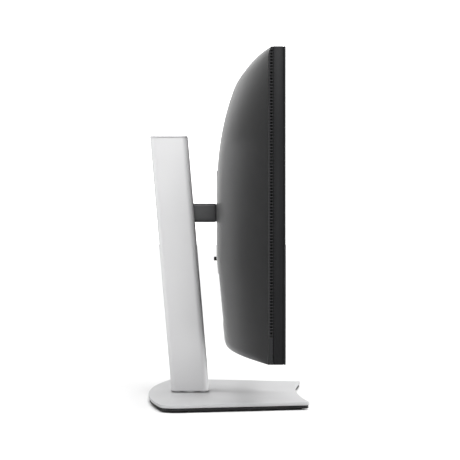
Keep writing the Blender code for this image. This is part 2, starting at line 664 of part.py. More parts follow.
def build_controls():
    width, height = RELEASE_SIZE
    add("release_button", through(rounded_rectangle(width / 2, height / 2, RELEASE_EDGE, 3),
                                  RELEASE_REAR_Y - RELEASE_LENGTH, RELEASE_REAR_Y),
        BLACK, pivot("release_axis", (0, RELEASE_REAR_Y, RELEASE_Z), "head"), (0, 0, RELEASE_Z))

    place = (POWER_X, power_y(), HEAD_BOTTOM_Z)
    width, depth = POWER_SIZE
    add("power_button", upright(rounded_rectangle(width / 2, depth / 2, POWER_EDGE, 3), *POWER_ENDS),
        BLACK, pivot("power_axis", place, "head"), place)

    hub = (JOYSTICK_X, joystick_floor_y() - JOYSTICK_PIVOT_DEPTH, JOYSTICK_Z)
    pitch = pivot("joystick_pitch_axis", hub, "head")
    yaw = pivot("joystick_yaw_axis", hub, pitch)
    press = pivot("joystick_press_axis", hub, yaw)
    outer, inner = GIMBAL_RADII
    ring = (through, -GIMBAL_HALF_THICKNESS, GIMBAL_HALF_THICKNESS)
    add("joystick_gimbal", tube(circle(outer, ROUND), circle(inner, ROUND), ring), BLACK, pitch, hub)
    add("joystick_stem", through(circle(STEM_RADIUS, SMALL_ROUND), *STEM_ENDS), BLACK, yaw, hub)
    cap = add("joystick_cap", through(circle(STICK_CAP_RADIUS, ROUND), *STICK_CAP_ENDS), RUBBER, press, hub)
    bore = through(circle(STEM_RADIUS + GAP, SMALL_ROUND), 0, STICK_CAP_BORE)
    cut(cap, helper("cap_bore", bore, press, hub))
    half, drop, thickness, half_height = JOYSTICK_BOARD
    board = box((-half, -drop, -half_height), (half, thickness - drop, half_height))
    add("joystick_board", board, BOARD, "head", hub)


def build_stand_head():
    """The plate and cover in the recess, and the tilt bracket that the plate turns on."""
    plate_back = RECESS_FLOOR_Y + PLATE_STANDOFF
    plate_front = plate_back + PLATE_THICKNESS
    half = RECESS_HALF - PLATE_MARGIN
    centre = (0, 0, ARM_Z)
    sheet = box((-half, plate_back, -half), (half, plate_front, half))
    plate = add("mount_plate", sheet, STEEL, "head", centre)
    rail_half, rail_z, rail_thick = PLATE_RAIL
    for end in (-1, 1):
        rail = box((-rail_half, RECESS_FLOOR_Y + GAP, end * rail_z - rail_thick),
                   (rail_half, plate_back + OVERLAP, end * rail_z + rail_thick))
        join(plate, helper(f"plate_rail_{end}", rail, "head", centre))
    slant_hole = through(circle(SLANT_BOSS_RADIUS + GAP, LARGE_ROUND), -BEYOND, 0)
    cut(plate, helper("slant_hole", slant_hole, "head", centre))

    cover = add("mount_cover", box((-half, plate_front + GAP, -half), (half, MOUNT_COVER_Y, half)),
                CHARCOAL, "head", centre)
    inner = half - MOUNT_COVER_WALL
    inside = box((-inner, -BEYOND, -inner), (inner, MOUNT_COVER_Y - MOUNT_COVER_WALL, inner))
    cut(cover, helper("mount_cover_inside", inside, "head", centre))
    reach = MOUNT_COVER_Y - TILT_Y
    side_room = ARM_WIDTH / 2 + ARM_ROOM
    upper_room = arm_reach(reach, TILT_BACK) + ARM_ROOM
    lower_room = arm_reach(reach, TILT_FORWARD) + ARM_ROOM
    opening = box((-side_room, 0, -lower_room), (side_room, BEYOND, upper_room))
    cut(cover, helper("arm_opening", opening, "head", centre))

    flange_back = plate_front + GAP
    flange_front = flange_back + FLANGE_THICKNESS
    bracket = add("tilt_bracket", through(circle(FLANGE_RADIUS, LARGE_ROUND), flange_back, flange_front),
                  STEEL, "tilt", centre)
    retainer_front = plate_back - GAP
    join(bracket, helper("slant_boss", through(circle(SLANT_BOSS_RADIUS, LARGE_ROUND), retainer_front + GAP,
                                               flange_back + OVERLAP), "tilt", centre))
    ear_inner = KNUCKLE_WIDTH / 2 + WASHER_THICKNESS + 2 * GAP
    ear_outer = ear_inner + EAR_THICKNESS
    ear_profile = [(flange_back + OVERLAP, -EAR_RADIUS)]
    ear_profile += arc((TILT_Y, 0), EAR_RADIUS, -90, 90, ARC_STEPS * 2)
    ear_profile += [(flange_back + OVERLAP, EAR_RADIUS)]
    for side in (-1, 1):
        ear = across(ear_profile, *sorted((side * ear_inner, side * ear_outer)))
        join(bracket, helper(f"ear_{side}", ear, "tilt", centre))
    bore = across(circle(SHAFT_RADIUS + GAP, ROUND, (TILT_Y, 0)), -BEYOND, BEYOND)
    cut(bracket, helper("ear_bore", bore, "tilt", centre))
    retainer = through(circle(SLANT_RETAINER_RADIUS, LARGE_ROUND),
                       retainer_front - SLANT_RETAINER_THICKNESS, retainer_front)
    add("slant_retainer", retainer, STEEL, "tilt", centre)

    axis_at = (0, TILT_Y, ARM_Z)
    rod = across(circle(SHAFT_RADIUS, ROUND), -ear_outer - OVERLAP, ear_outer + SHAFT_END)
    shaft = add("tilt_shaft", rod, STEEL, "tilt", axis_at)
    head_radius, head_height = SHAFT_HEAD
    head = across(circle(head_radius, ROUND), -ear_outer - head_height, -ear_outer - GAP)
    join(shaft, helper("shaft_head", head, "tilt", axis_at))
    hexagon = across(circle(NUT_RADIUS, 6), ear_outer + GAP, ear_outer + NUT_HEIGHT)
    nut = add("shaft_nut", hexagon, STEEL, "tilt", axis_at)
    cut(nut, helper("nut_bore", across(circle(SHAFT_RADIUS + GAP, ROUND), 0, BEYOND), "tilt", axis_at))
    near = KNUCKLE_WIDTH / 2 + GAP
    for side, name in ((-1, "friction_washer_left"), (1, "friction_washer_right")):
        ends = sorted((side * near, side * (near + WASHER_THICKNESS)))
        ring = tube(circle(WASHER_RADIUS, ROUND), circle(SHAFT_RADIUS + GAP, ROUND), (across, *ends))
        add(name, ring, SPRING, "tilt", axis_at)


def arm_reach(distance, degrees):
    """How far from the arm's middle its face comes, at a distance behind the tilt axis, on a tilted head."""
    turn = math.radians(degrees)
    return (ARM_HEIGHT / 2 + distance * math.sin(turn)) / math.cos(turn)


# ---------------------------------------------------------------- column and lift

def column_y(z):
    """The column's leaning centre line."""
    return COLUMN_FOOT_Y + COLUMN_LEAN * (z - COLUMN_FOOT_Z)


def leaning(outline, low, high):
    """An outline around the column's centre line, extruded along its lean."""
    return loft([[(x, y + column_y(z), z) for x, y in outline] for z in (low, high)])


def column_outline(inset, steps=ARC_STEPS):
    half_width, half_depth = COLUMN_WIDTH / 2 - inset, COLUMN_DEPTH / 2 - inset
    return rounded_rectangle(half_width, half_depth, COLUMN_RADIUS - inset, steps)


def cable_tunnel(margin, low_d, high_d):
    """A rounded tunnel through the column, whose ends follow the column's lean."""
    middle = sum(CABLE_HOLE_Z) / 2
    half_height = (CABLE_HOLE_Z[1] - CABLE_HOLE_Z[0]) / 2 + margin
    outline = rounded_rectangle(CABLE_HOLE_RADIUS + margin, half_height, CABLE_HOLE_RADIUS + margin, 8)
    return [[(x, column_y(middle + z) + d, middle + z) for x, z in outline] for d in (low_d, high_d)]


def build_column():
    top = COLUMN_TOP_Z - CAP_THICKNESS - GAP
    shell = add("column_shell", leaning(column_outline(0), COLUMN_FOOT_Z, top), SILVER, "swivel")
    cut(shell, helper("column_inside", leaning(column_outline(COLUMN_WALL), 0, 1), "swivel"))
    half_depth = COLUMN_DEPTH / 2
    cut(shell, helper("cable_way", loft(cable_tunnel(TRIM_WALL + GAP, -BEYOND, BEYOND)), "swivel"))
    slot_half = ARM_WIDTH / 2 + SLOT_MARGIN
    slot_low = ARM_Z - ARM_HEIGHT / 2 - LIFT_DOWN - 2 * SLOT_MARGIN
    slot_high = ARM_Z + ARM_HEIGHT / 2 + LIFT_UP + 2 * SLOT_MARGIN
    slot = ((-slot_half, -BEYOND), (slot_half, -BEYOND), (slot_half, -SLOT_DEPTH), (-slot_half, -SLOT_DEPTH))
    cut(shell, helper("arm_slot", leaning(slot, slot_low, slot_high), "swivel"))
    cap = leaning(column_outline(0), COLUMN_TOP_Z - CAP_THICKNESS, COLUMN_TOP_Z)
    add("column_cap", cap, SILVER, "swivel")

    sleeve = loft(cable_tunnel(TRIM_WALL, -half_depth, half_depth))
    lining = add("cable_hole_lining", sleeve, BLACK, "swivel")
    cut(lining, helper("cable_passage", loft(cable_tunnel(0, -BEYOND, BEYOND)), "swivel"))

    block = leaning(column_outline(COLUMN_WALL + GAP), COLUMN_FOOT_Z, FOOT_BLOCK_TOP_Z)
    foot = add("column_foot", block, STEEL, "swivel")
    place = (0, COLUMN_FOOT_Y, 0)
    thread = upright(circle(SCREW_RADIUS + GAP, SMALL_ROUND), 0, SCREW_TOP_Z + OVERLAP)
    cut(foot, helper("foot_thread", thread, "swivel", place))

    rail = add("lift_rail", leaning(column_outline(COLUMN_WALL + GAP), *RAIL_Z), STEEL, "swivel")
    cut(rail, helper("rail_inside", leaning(column_outline(COLUMN_WALL + GAP + RAIL_WALL), 0, 1), "swivel"))
    lip = CARRIAGE_FRONT - RAIL_LIP
    front = ((-BEYOND, -BEYOND), (BEYOND, -BEYOND), (BEYOND, lip), (-BEYOND, lip))
    cut(rail, helper("rail_front", leaning(front, 0, 1), "swivel"))
    near, far = RAIL_BACK - GAP - BAND_THICKNESS, RAIL_BACK - GAP
    half = COIL_WIDTH / 2
    band = ((-half, near), (half, near), (half, far), (-half, far))
    add("spring_band", leaning(band, RAIL_Z[0] + BAND_ENDS[0], RAIL_Z[1] - BAND_ENDS[1]), SPRING, "swivel")


def build_swivel():
    place = (0, COLUMN_FOOT_Y, 0)
    disc_bottom = PLATE_TOP_Z + GAP
    post_bottom = PLATE_TOP_Z - BASE_PLATE_THICKNESS
    plate = upright(circle(SWIVEL_DISC_RADIUS, LARGE_ROUND), disc_bottom, COLUMN_FOOT_Z - GAP)
    disc = add("swivel_disc", plate, STEEL, "swivel", place)
    post = upright(circle(SWIVEL_POST_RADIUS, LARGE_ROUND), post_bottom, disc_bottom + OVERLAP)
    join(disc, helper("swivel_post", post, "swivel", place))
    pocket = upright(circle(SCREW_POCKET_RADIUS, LARGE_ROUND), 0, SCREW_POCKET_TOP_Z)
    hole = upright(circle(SCREW_RADIUS + GAP, SMALL_ROUND), 0, BEYOND)
    cut(disc, helper("screw_pocket", pocket, "swivel", place), helper("screw_hole", hole, "swivel", place))
    ring = tube(circle(RETAINER_RADIUS, LARGE_ROUND), circle(SCREW_POCKET_RADIUS, LARGE_ROUND),
                (upright, RETAINER_BOTTOM_Z, post_bottom - GAP))
    add("swivel_retainer", ring, STEEL, "swivel", place)
    head = upright(circle(SCREW_HEAD_RADIUS, ROUND), *SCREW_HEAD_Z)
    screw = add("base_screw", head, STEEL, "swivel", place)
    shank = upright(circle(SCREW_RADIUS, SMALL_ROUND), SCREW_HEAD_Z[1] - OVERLAP, SCREW_TOP_Z)
    join(screw, helper("screw_shank", shank, "swivel", place))
    add_screw_ring()


def add_screw_ring():
    """A half ring that folds flat around the screw's head and swings down on a line through its two ends."""
    place = (0, COLUMN_FOOT_Y, RING_Z)
    ring_axis = pivot("ring_axis", place, "swivel")
    end = SCREW_HEAD_RADIUS + GAP
    path = [(end, 0.0), *arc((0, 0), RING_RADIUS, 0, -180, 2 * ARC_STEPS), (-end, 0.0)]
    loops = []
    for index, (x, y) in enumerate(path):
        before = Vector(path[max(index - 1, 0)])
        after = Vector(path[min(index + 1, len(path) - 1)])
        side = (after - before).normalized().orthogonal()
        loops.append([(x + side.x * u, y + side.y * u, w) for u, w in circle(RING_WIRE, 8)])
    add("screw_ring", loft(loops), STEEL, ring_axis, place)


def build_lift():
    front, back = CARRIAGE_FRONT, CARRIAGE_BACK
    half = CARRIAGE_WIDTH / 2
    low, high = ARM_Z - CARRIAGE_DROP, ARM_Z + ARM_HEIGHT / 2
    plate = ((-half, front), (half, front), (half, back), (-half, back))
    carriage = add("lift_carriage", leaning(plate, low, high), STEEL, "lift")
    coil_z = ARM_Z - COIL_DROP
    cheek_inner = COIL_WIDTH / 2 + CHEEK_SPACE
    cheek_outer = cheek_inner + CHEEK_THICKNESS
    reach = COIL_BACK + CHEEK_REACH
    for side in (-1, 1):
        xs = sorted((side * cheek_inner, side * cheek_outer))
        cheek = ((xs[0], back - OVERLAP), (xs[1], back - OVERLAP), (xs[1], reach), (xs[0], reach))
        plate = leaning(cheek, coil_z - CHEEK_HALF_HEIGHT, coil_z + CHEEK_HALF_HEIGHT)
        join(carriage, helper(f"cheek_{side}", plate, "lift"))
    axle_at = (0, column_y(coil_z) + COIL_BACK, coil_z)
    bore = circle(AXLE_RADIUS + GAP, ROUND)
    cut(carriage, helper("axle_bore", across(bore, -BEYOND, BEYOND), "lift", axle_at))
    add("spring_axle", across(circle(AXLE_RADIUS, ROUND), -cheek_outer - AXLE_END, cheek_outer + AXLE_END),
        STEEL, "lift", axle_at)
    coil = tube(circle(COIL_RADIUS, LARGE_ROUND), circle(AXLE_RADIUS + GAP, LARGE_ROUND),
                (across, -COIL_WIDTH / 2, COIL_WIDTH / 2))
    add("spring_coil", coil, SPRING, pivot("coil_axis", axle_at, "lift"), axle_at)
    for side, name in ((-1, "glide_pad_left"), (1, "glide_pad_right")):
        xs = sorted((side * (half + GAP), side * PAD_OUTER))
        pad = ((xs[0], front), (xs[1], front), (xs[1], back + PAD_DEPTH), (xs[0], back + PAD_DEPTH))
        add(name, leaning(pad, low + PAD_RISE, low + PAD_RISE + PAD_LENGTH), BLACK, "lift")

    root = [(column_y(ARM_Z + end * ARM_HEIGHT / 2) + front - GAP, end * ARM_HEIGHT / 2) for end in (-1, 1)]
    neck_y = TILT_Y + KNUCKLE_RADIUS
    bar = ((neck_y, -ARM_HEIGHT / 2), root[0], root[1], (neck_y, ARM_HEIGHT / 2))
    centre = (0, 0, ARM_Z)
    arm = add("arm", across(bar, -ARM_WIDTH / 2, ARM_WIDTH / 2), DARK_ARM, "lift", centre)
    round_edges(arm, ARM_EDGE, 3)
    knuckle = [(neck_y + ARM_EDGE, -KNUCKLE_RADIUS), (neck_y + ARM_EDGE, KNUCKLE_RADIUS)]
    knuckle += arc((TILT_Y, 0), KNUCKLE_RADIUS, 90, 270, 2 * ARC_STEPS)
    join(arm, helper("arm_knuckle", across(knuckle, -KNUCKLE_WIDTH / 2, KNUCKLE_WIDTH / 2), "lift", centre))
    bore = across(circle(SHAFT_RADIUS + GAP, ROUND, (TILT_Y, 0)), -BEYOND, BEYOND)
    cut(arm, helper("knuckle_bore", bore, "lift", centre))


# ---------------------------------------------------------------- base

def arc_between(end_x, end_y, middle_y, steps):
    """Points on the arc from (end_x, end_y) through (0, middle_y) to (-end_x, end_y)."""
    rise = middle_y - end_y
    radius = (end_x ** 2 + rise ** 2) / (2 * abs(rise))
    centre_y = middle_y - math.copysign(radius, rise)
    half_turn = math.asin(end_x / radius)
    points = []
    for step in range(steps + 1):
        turn = half_turn * (1 - 2 * step / steps)
        points.append((radius * math.sin(turn), centre_y + math.copysign(radius, rise) * math.cos(turn)))
    return points


def base_outline(inset):
    """The plate seen from above: a convex rear edge, tapering sides and a hollow front edge."""
    rear = arc_between(BASE_REAR_HALF_WIDTH - inset, BASE_REAR_CORNER_Y - inset, BASE_REAR_Y - inset, 14)
    front = arc_between(BASE_FRONT_HALF_WIDTH - inset, BASE_FRONT_CORNER_Y + inset,
                        BASE_FRONT_CORNER_Y + BASE_FRONT_DIP + inset, 10)
    front.reverse()
    corners = [(x, y, 0) for x, y in rear] + [(x, y, 0) for x, y in front]
    rear_ends = (0, len(rear) - 1)
    front_ends = (len(rear), len(corners) - 1)
    for index in rear_ends:
        corners[index] = (*corners[index][:2], BASE_REAR_RADIUS - inset)
    for index in front_ends:
        corners[index] = (*corners[index][:2], BASE_FRONT_RADIUS - inset)
    return rounded_corners(corners)


def build_base():
    swivel_at = (0, COLUMN_FOOT_Y, 0)
    plate_bottom = PLATE_TOP_Z - BASE_PLATE_THICKNESS
    plate = add("base_plate", upright(base_outline(0), plate_bottom, PLATE_TOP_Z), SILVER, "base")
    round_edges(plate, PLATE_EDGE)
    hole = upright(circle(SWIVEL_POST_RADIUS + GAP, LARGE_ROUND), 0, BEYOND)
    cut(plate, helper("plate_hole", hole, "base", swivel_at))
    slab = upright(base_outline(UNDERSIDE_INSET), UNDERSIDE_BOTTOM_Z, plate_bottom - GAP)
    tray = add("base_underside", slab, BLACK, "base")
    hole = upright(circle(RETAINER_RADIUS + 2 * GAP, LARGE_ROUND), 0, BEYOND)
    cut(tray, helper("tray_hole", hole, "base", swivel_at))
    rear = (BASE_REAR_HALF_WIDTH - FOOT_INSETS[0][0], BASE_REAR_CORNER_Y - FOOT_INSETS[0][1])
    front = (BASE_FRONT_HALF_WIDTH - FOOT_INSETS[1][0], BASE_FRONT_CORNER_Y + FOOT_INSETS[1][1])
    for end, (x, y) in (("rear", rear), ("front", front)):
        for side, sign in (("left", -1), ("right", 1)):
            add(f"foot_{end}_{side}", upright(circle(FOOT_RADIUS, ROUND), 0, UNDERSIDE_BOTTOM_Z - GAP),
                RUBBER, "base", (sign * x, y, 0))


def build():
    clear_scene()
    pivot("base", (0, 0, 0))
    pivot("swivel", (0, COLUMN_FOOT_Y, COLUMN_FOOT_Z), "base")
    pivot("lift", (0, column_y(ARM_Z), ARM_Z), "swivel")
    pivot("tilt", (0, TILT_Y, ARM_Z), "lift")
    pivot("head", (0, TILT_Y, ARM_Z), "tilt")
    build_base()
    build_swivel()
    build_column()
    build_lift()
    build_stand_head()
    build_rear_cover()
    build_front()
    build_inside()
    build_sockets()
    build_controls()


build()
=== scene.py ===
"""The finished look of the curved monitor: fine covers, vents, sockets and materials on the fixed frame."""

import json
import math

import bmesh
import bpy
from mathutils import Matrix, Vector

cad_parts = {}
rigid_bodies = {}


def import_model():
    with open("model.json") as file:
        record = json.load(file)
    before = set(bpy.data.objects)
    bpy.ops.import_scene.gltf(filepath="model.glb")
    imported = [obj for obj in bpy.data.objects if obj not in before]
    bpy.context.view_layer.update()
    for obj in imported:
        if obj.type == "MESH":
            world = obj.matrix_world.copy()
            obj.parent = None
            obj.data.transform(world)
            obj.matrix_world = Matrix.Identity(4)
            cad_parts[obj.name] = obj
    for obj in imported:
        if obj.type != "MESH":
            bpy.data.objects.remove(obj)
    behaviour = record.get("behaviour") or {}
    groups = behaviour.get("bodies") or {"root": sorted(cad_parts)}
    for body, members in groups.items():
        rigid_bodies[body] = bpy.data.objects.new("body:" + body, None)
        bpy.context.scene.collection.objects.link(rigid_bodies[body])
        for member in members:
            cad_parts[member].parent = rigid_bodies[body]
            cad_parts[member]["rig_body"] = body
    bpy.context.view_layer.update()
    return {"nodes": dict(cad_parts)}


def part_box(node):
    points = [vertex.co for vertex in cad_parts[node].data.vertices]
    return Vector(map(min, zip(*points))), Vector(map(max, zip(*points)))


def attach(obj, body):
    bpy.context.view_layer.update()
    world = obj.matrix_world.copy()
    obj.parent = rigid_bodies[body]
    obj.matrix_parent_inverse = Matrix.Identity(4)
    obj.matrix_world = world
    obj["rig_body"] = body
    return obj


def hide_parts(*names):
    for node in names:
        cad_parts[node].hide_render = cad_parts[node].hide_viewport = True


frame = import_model()

# ---------------------------------------------------------------- sizes

# The head's curve and dome, as the design states them
SCREEN_RADIUS = 3.8
RIM_DEPTH = 0.0200
RIM_STEP = 0.0059
DOME_DEPTH = 0.0402
DOME_RISE = 0.186
DOME_POWER = 2.67
DOME_FALL_Z = 0.190
DOME_FALL = 2.4
DOME_FLAT = 0.18
DOME_FLANK = 1.75
UNDER_RISE = 0.012
UNDER_DEPTH = 0.0240
UNDER_FLANK = 1.45
COVER_WALL = 0.0022

HEAD_LOW, HEAD_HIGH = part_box("front_bezel")
HALF_WIDTH = HEAD_HIGH.x
BOTTOM_Z = HEAD_LOW.z
TOP_Z = HEAD_HIGH.z
FRONT_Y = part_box("rear_cover")[1].y - RIM_DEPTH - DOME_DEPTH
COVER_FRONT_DEPTH = 0.0146
CAVITY_REACH = 0.002    # the cover's cavity cuts this far out through its front

LIP_DEPTH = 0.0187      # where the rim's rear chamfer starts
SIDE_LIP_SLOPE = 1.1    # depth gained per metre inwards on the chamfer
TOP_LIP_SLOPE = 1.15
LIP_BLEND = 0.012       # depth over which the chamfer runs into the dome
EXTRA_WALL = 0.0012     # the cover's wall is this much thicker in depth than COVER_WALL
CORNER_RADIUS = 0.0020

# Where the dome's grid has closer lines: distances from a side, from the bottom and from the top
SIDE_LINES = (0, 0.0006, 0.0013, 0.0020, 0.0032)
BOTTOM_LINES = (0, 0.0004, 0.0012, 0.0024, 0.0042, 0.0070, 0.0100)
TOP_LINES = (0, 0.0008, 0.0018, 0.0030, 0.0044)
TOP_ROW = 0.001         # the rows this close to the top follow the rounded corner
COVER_GRID = (88, 56)
CAVITY_GRID = (40, 26)

VENT_STRIP_DEPTHS = (0.0149, 0.0183)
VENT_STRIP_THICKNESS = 0.0016
VENT_STRIP_BOTTOM = 0.0014
VENT_STRIP_TOP = CORNER_RADIUS + 0.0008
VENT_PITCH = 0.0036
VENT_HEIGHT = 0.0023
VENT_WIDTH = 0.0028
BLIND_VENTS = 8
BLIND_DEPTH = 0.0006
GROOVE_MARGIN = 0.0012  # from the strip's groove to the cover's top and bottom
GROOVE_LAP = 0.002      # the groove's cutter starts this far in front of the strip
GROOVE_END_GAP = 0.00015
AIR_SLOT_DEPTH = 0.008  # the slot behind the vents, through the cover's side
BEYOND = 0.01           # past a surface, for cutters

GAP = 0.0003
WELD_DISTANCE = 0.000002
FLAT_ANGLE = 0.5            # degrees, between faces that count as one

# Holes in the cover
VESA_HALF = 0.05
BOSS_HOLE_RADIUS = 0.0046
SCREW_HOLE_RADIUS = 0.0018
STEM_HOLE_RADIUS = 0.0036
STICK_DEPTH = 0.0050
STICK_POCKET = 0.0090
HOLE_BELOW = 0.004
HOLE_ABOVE = 0.002
STEM_HOLE_BELOW = 0.006
ROUND = 40
SMALL_ROUND = 20
SCREW_ROUND = 16

# Screen film, over the panel's lit area
FILM_SIDE_MARGIN = 0.0050
FILM_END_MARGIN = 0.0055
FILM_LIFT = 0.0004
FILM_THICKNESS = 0.00008
FILM_STEPS = 48

# Mains inlet pins, and the contacts of the network socket
PIN_PLACES = ((-0.007, 0.002), (0.0, -0.002), (0.007, 0.002))
PIN_HALF = (0.001, 0.002)
PIN_ENDS = (0.004, 0.003)
CONTACT_COUNT = 8
CONTACT_PITCH = 0.00102
CONTACT_HALF = 0.00025
CONTACT_DEPTHS = (0.0010, 0.0016)
CONTACT_ENDS = (0.0020, 0.0026)

# Menu knob: shares of its radius at depths from its inner end and from its outer end
KNOB_INNER_RINGS = ((0.0, 0.55), (0.0, 0.92), (0.0006, 1.0))
KNOB_OUTER_RINGS = ((0.0016, 1.0), (0.0005, 0.90), (0.0, 0.70), (0.0005, 0.45), (0.0009, 0.15))
KNOB_RIDGES = 40
KNOB_GROOVE = 0.97

# The studio, and where the photograph was taken from
STUDIO_GREY = 0.12
CARD_WHITE = 2.3
CARD_EDGE = (0.78, 0.985)   # where the white cards round the four sides begin and are full
FLOOR_RADIUS = 30
FLOOR_WHITE = (0.93, 0.93, 0.93)
SUN_STRENGTH = 3.0
SUN_SPREAD = 100            # degrees
# Each softbox: its place, what it faces, its size and its power
SOFTBOXES = {
    "camera_side_softbox": ((-1.05, -0.1, 1.15), (-0.2, 0, 0.3), (0.9, 0.5), 6),
    "rear_softbox": ((-1.2, 1.8, 1.5), (0, 0, 0.3), (1.2, 1.0), 4),
    "front_softbox": ((0.1, -1.8, 0.8), (0, -0.1, 0.05), (1.6, 0.8), 26),
}
CAMERA_PLACE = (-2.87, -0.0044, 0.2247)
CAMERA_LENS = 168.3

# ---------------------------------------------------------------- materials

NOISE_DETAIL = 2.0
NOISE_RANGE = (0.3, 0.7)    # most of the noise's values lie between these
SHEEN_ROUGHNESS = 0.35
materials = {}


def shader_nodes(name):
    """A new material and the handles that every finish uses."""
    made = bpy.data.materials.new(name)
    made.use_nodes = True
    nodes = made.node_tree.nodes
    return made, nodes, made.node_tree.links, nodes["Principled BSDF"]


def noise(nodes, links, scale, stretch=(1, 1, 1)):
    """Noise in the object's own metres, stretched along its axes."""
    place = nodes.new("ShaderNodeTexCoord")
    mapping = nodes.new("ShaderNodeMapping")
    mapping.inputs["Scale"].default_value = stretch
    texture = nodes.new("ShaderNodeTexNoise")
    texture.inputs["Scale"].default_value = scale
    texture.inputs["Detail"].default_value = NOISE_DETAIL
    links.new(place.outputs["Object"], mapping.inputs["Vector"])
    links.new(mapping.outputs["Vector"], texture.inputs["Vector"])
    return texture.outputs["Fac"]


def spread(nodes, links, value, low, high, start=NOISE_RANGE[0], end=NOISE_RANGE[1]):
    """Map a value from start to end to a number from low to high."""
    scaled = nodes.new("ShaderNodeMapRange")
    scaled.inputs["From Min"].default_value = start
    scaled.inputs["From Max"].default_value = end
    scaled.inputs["To Min"].default_value = low
    scaled.inputs["To Max"].default_value = high
    links.new(value, scaled.inputs["Value"])
    return scaled.outputs["Result"]


def tint(nodes, links, value, dark, light):
    """Map a noise value to a colour between two."""
    ramp = nodes.new("ShaderNodeValToRGB")
    ramp.color_ramp.elements[0].position = NOISE_RANGE[0]
    ramp.color_ramp.elements[0].color = (*dark, 1)
    ramp.color_ramp.elements[1].position = NOISE_RANGE[1]
    ramp.color_ramp.elements[1].color = (*light, 1)
    links.new(value, ramp.inputs["Fac"])
    return ramp.outputs["Color"]


def bump(nodes, links, shader, value, distance):
    relief = nodes.new("ShaderNodeBump")
    relief.inputs["Strength"].default_value = 1.0
    relief.inputs["Distance"].default_value = distance
    links.new(value, relief.inputs["Height"])
    links.new(relief.outputs["Normal"], shader.inputs["Normal"])


# Colour from and to, roughness from and to, the grain's scale and depth, and what else is set
FINISHES = {
    "charcoal_moulding": ((0.0090, 0.0092, 0.0100), (0.0120, 0.0123, 0.0132), (0.27, 0.36), 2600, 0.000008,
                          dict(specular=0.24, sheen=0.05)),
    "charcoal_rim": ((0.0145, 0.0148, 0.0158), (0.0180, 0.0183, 0.0194), (0.36, 0.46), 3200, 0.000010,
                     dict(specular=0.10)),
    "charcoal_vents": ((0.026, 0.0265, 0.028), (0.032, 0.0325, 0.034), (0.40, 0.50), 3200, 0.000008,
                       dict(specular=0.15)),
    "silver_paint_finish": ((0.70, 0.70, 0.706), (0.75, 0.75, 0.755), (0.42, 0.52), 5200, 0.000004,
                            dict(metallic=0.12, blotch_scale=6, specular=0.3)),
    # The same silver paint as the column, made darker for the base plate: the lower colour is painted shade
    # that tones down the light falling on the base.
    "shaded_base_silver_paint": ((0.52, 0.52, 0.526), (0.57, 0.57, 0.576), (0.46, 0.56), 5200, 0.000004,
                          dict(metallic=0.10, blotch_scale=6, specular=0.15)),
    "arm_paint_finish": ((0.058, 0.059, 0.061), (0.070, 0.071, 0.073), (0.36, 0.46), 4200, 0.00002,
                         dict(metallic=0.2, specular=0.4)),
    "black_moulding": ((0.010, 0.010, 0.011), (0.018, 0.018, 0.019), (0.5, 0.65), 2400, 0.00006, {}),
    "foot_rubber": ((0.012, 0.012, 0.012), (0.024, 0.024, 0.024), (0.8, 0.95), 1800, 0.0001,
                    dict(specular=0.3)),
    "plated_steel": ((0.50, 0.50, 0.51), (0.60, 0.60, 0.61), (0.26, 0.40), 900, 0.00001,
                     dict(metallic=1.0, stretch=(1, 1, 12))),
    "spring_strip": ((0.38, 0.39, 0.41), (0.46, 0.47, 0.49), (0.18, 0.30), 1200, 0.00001,
                     dict(metallic=1.0, stretch=(8, 1, 1))),
    "nickel_plate": ((0.58, 0.57, 0.54), (0.68, 0.67, 0.64), (0.20, 0.34), 1500, 0.000008,
                     dict(metallic=1.0)),
    "gold_contacts": ((0.70, 0.50, 0.20), (0.80, 0.60, 0.28), (0.22, 0.32), 2000, 0.000005,
                      dict(metallic=1.0)),
    "solder_resist": ((0.012, 0.085, 0.040), (0.020, 0.120, 0.058), (0.35, 0.55), 700, 0.00003, {}),
    "light_pipe_plastic": ((0.72, 0.75, 0.78), (0.82, 0.85, 0.88), (0.12, 0.22), 1500, 0.00001,
                           dict(coat=0.3)),
    "screen_border": ((0.003, 0.003, 0.003), (0.005, 0.005, 0.006), (0.22, 0.30), 5200, 0.000006,
                      dict(specular=0.16)),
    "anti_glare_film": ((0.0040, 0.0043, 0.0056), (0.0052, 0.0056, 0.0072), (0.24, 0.34), 6800, 0.000006,
                        dict(blotch_scale=3, specular=0.16)),
}


def finish(name):
    """The material of that name, made when it is first asked for."""
    if name not in materials:
        *values, extra = FINISHES[name]
        materials[name] = surface(name, *values, **extra)
    return materials[name]


def surface(name, dark, light, rough, grain_scale, grain_depth, metallic=0.0, blotch_scale=14,
            stretch=(1, 1, 1), specular=0.5, coat=0.0, sheen=0.0):
    """A finish with a slow drift of colour, a fine grain in its relief and an uneven gloss."""
    made, nodes, links, shader = shader_nodes(name)
    blotches = noise(nodes, links, blotch_scale)
    grain = noise(nodes, links, grain_scale, stretch)
    links.new(tint(nodes, links, blotches, dark, light), shader.inputs["Base Color"])
    links.new(spread(nodes, links, grain, *rough), shader.inputs["Roughness"])
    bump(nodes, links, shader, grain, grain_depth)
    shader.inputs["Metallic"].default_value = metallic
    shader.inputs["Specular IOR Level"].default_value = specular
    shader.inputs["Coat Weight"].default_value = coat
    shader.inputs["Sheen Weight"].default_value = sheen
    shader.inputs["Sheen Roughness"].default_value = SHEEN_ROUGHNESS
    return made


# ---------------------------------------------------------------- pieces

def show(name, mesh, material, body, slot, *nodes, bevel=0.0, segments=2, angle=35):
    """Make a piece from a bmesh, give it a material and let it ride on a body in place of its CAD nodes."""
    bmesh.ops.recalc_face_normals(mesh, faces=mesh.faces)
    data = bpy.data.meshes.new(name)
    mesh.to_mesh(data)
    mesh.free()
    piece = bpy.data.objects.new(name, data)
    bpy.context.scene.collection.objects.link(piece)
    if bevel:
        soften(piece, bevel, segments, angle)
    data = piece.data
    data.shade_smooth()
    data.set_sharp_from_angle(angle=math.radians(angle))
    data.materials.clear()
    data.materials.append(material)
    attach(piece, body)
    if nodes:
        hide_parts(*nodes)


